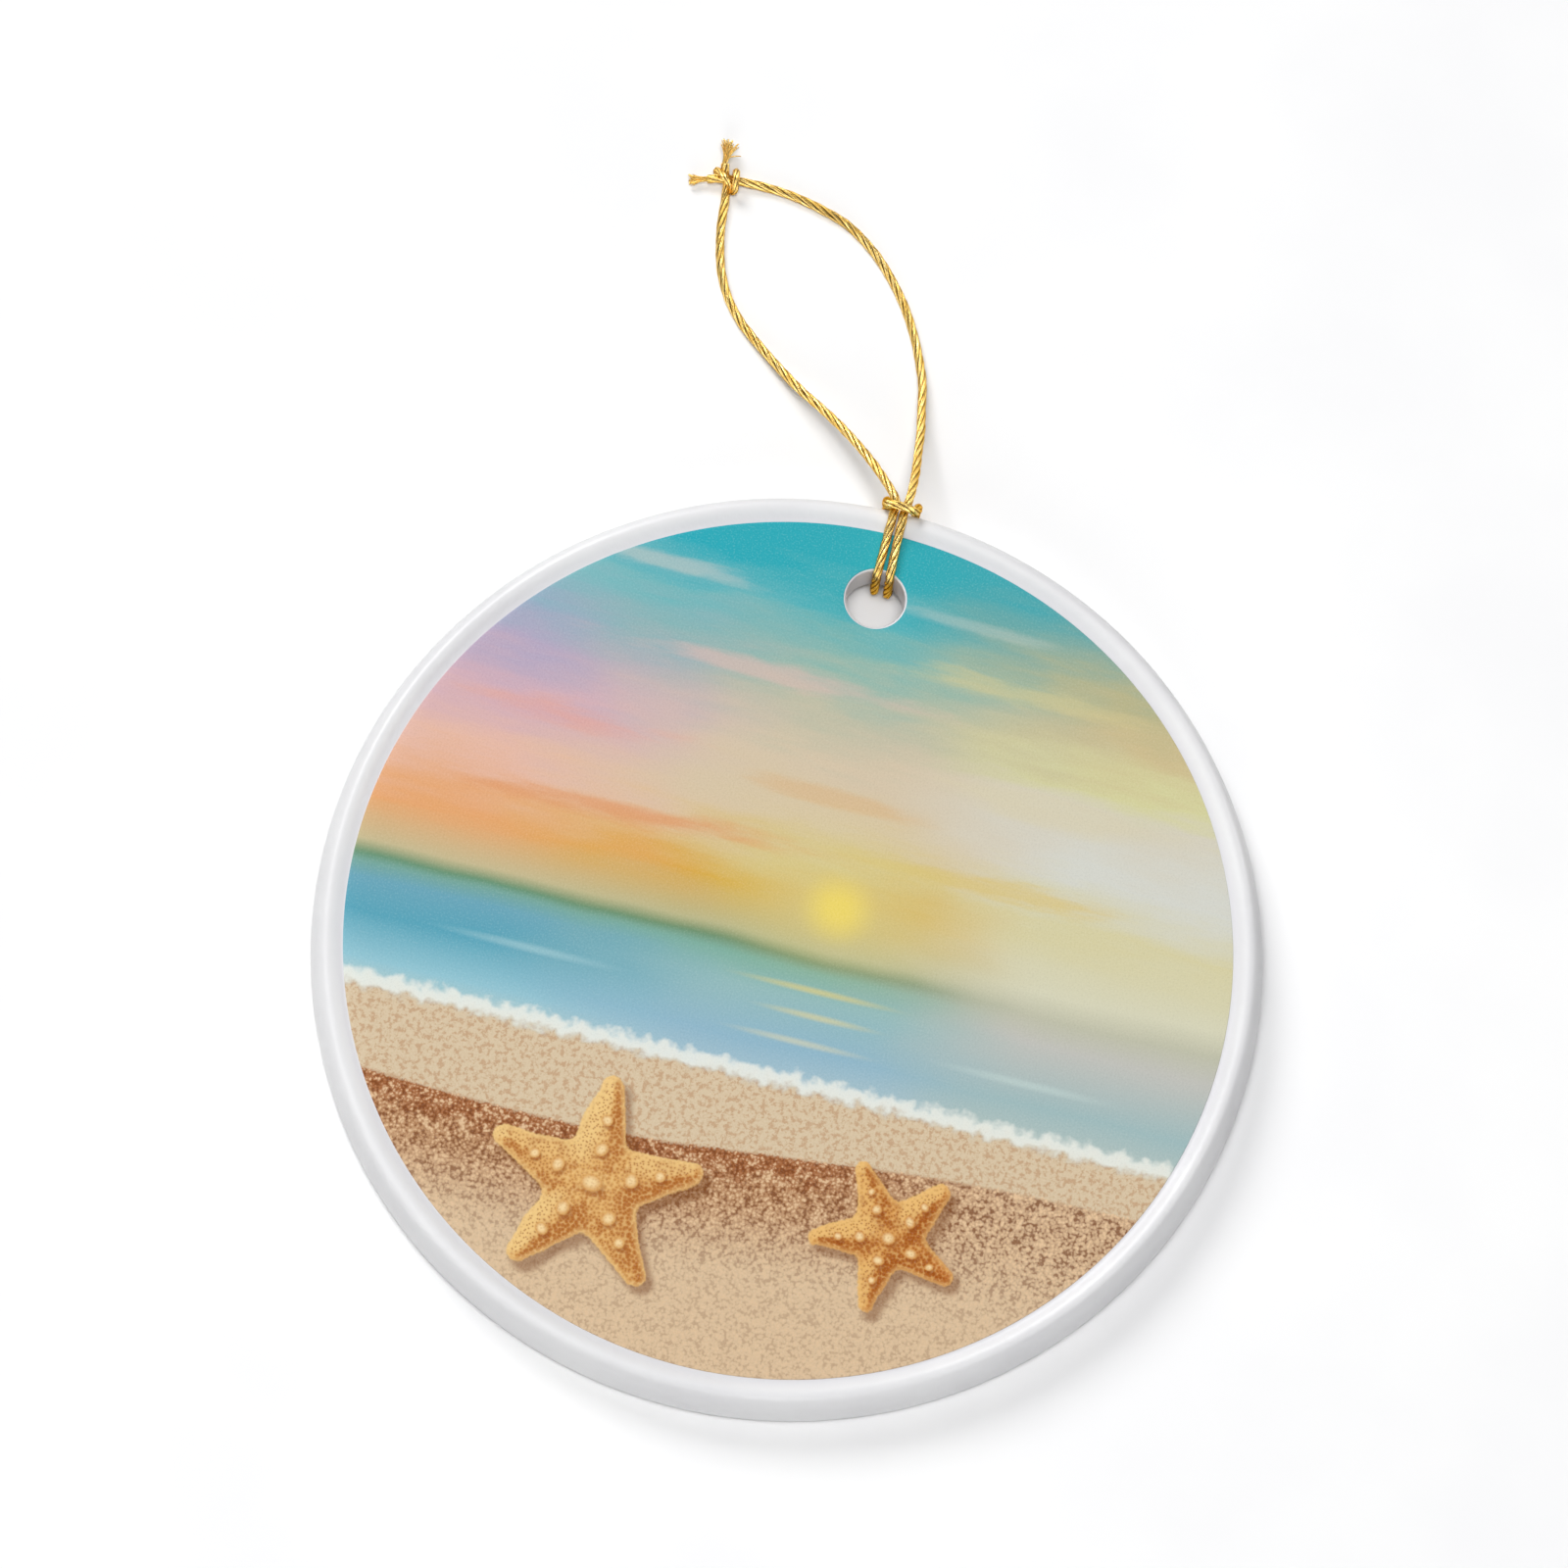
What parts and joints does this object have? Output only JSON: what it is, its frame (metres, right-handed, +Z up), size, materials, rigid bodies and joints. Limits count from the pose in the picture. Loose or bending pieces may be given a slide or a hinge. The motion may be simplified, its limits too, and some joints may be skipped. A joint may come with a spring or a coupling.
{
  "type": "souvenir christmas ornament",
  "caption": "Round white ceramic hanging ornament with a printed beach scene on its face and a gold cord loop hitched through its hole.",
  "frame": {"origin": "bottom centre of the ceramic disc, on the surface it lies on", "axes": "+Z up, out of the printed face; +Y from the disc's middle to its hanging hole; +X to the right when the hole is at the top"},
  "size_m": [0.073, 0.1006, 0.0064],
  "materials": {
    "ceramic": "satin",
    "print": "satin printed picture",
    "gold_cord": "metallic thread"
  },
  "bodies": {
    "disc": {"ceramic_disc": "ceramic", "printed_face": "print"},
    "hitch": {"cord_front_leg_left": "gold_cord", "cord_front_leg_right": "gold_cord", "cord_back_leg_left": "gold_cord", "cord_back_leg_right": "gold_cord", "cord_band": "gold_cord"},
    "loop": {"cord_loop_left": "gold_cord", "cord_loop_right": "gold_cord", "cord_knot": "gold_cord", "cord_tail_left": "gold_cord", "cord_tail_upper": "gold_cord"}
  },
  "joints": [
    {"name": "hitch_pivot", "type": "hinge", "parent": "disc", "child": "hitch", "pos_m": [0, 0.02857, 0.00255], "axis": [0, -0.012, 0.9999], "range_deg": [-8, 8]},
    {"name": "loop_fold", "type": "hinge", "parent": "hitch", "child": "loop", "pos_m": [0.0002, 0.03633, 0.00607], "axis": [1, 0, 0], "range_deg": [0, 180]}
  ]
}
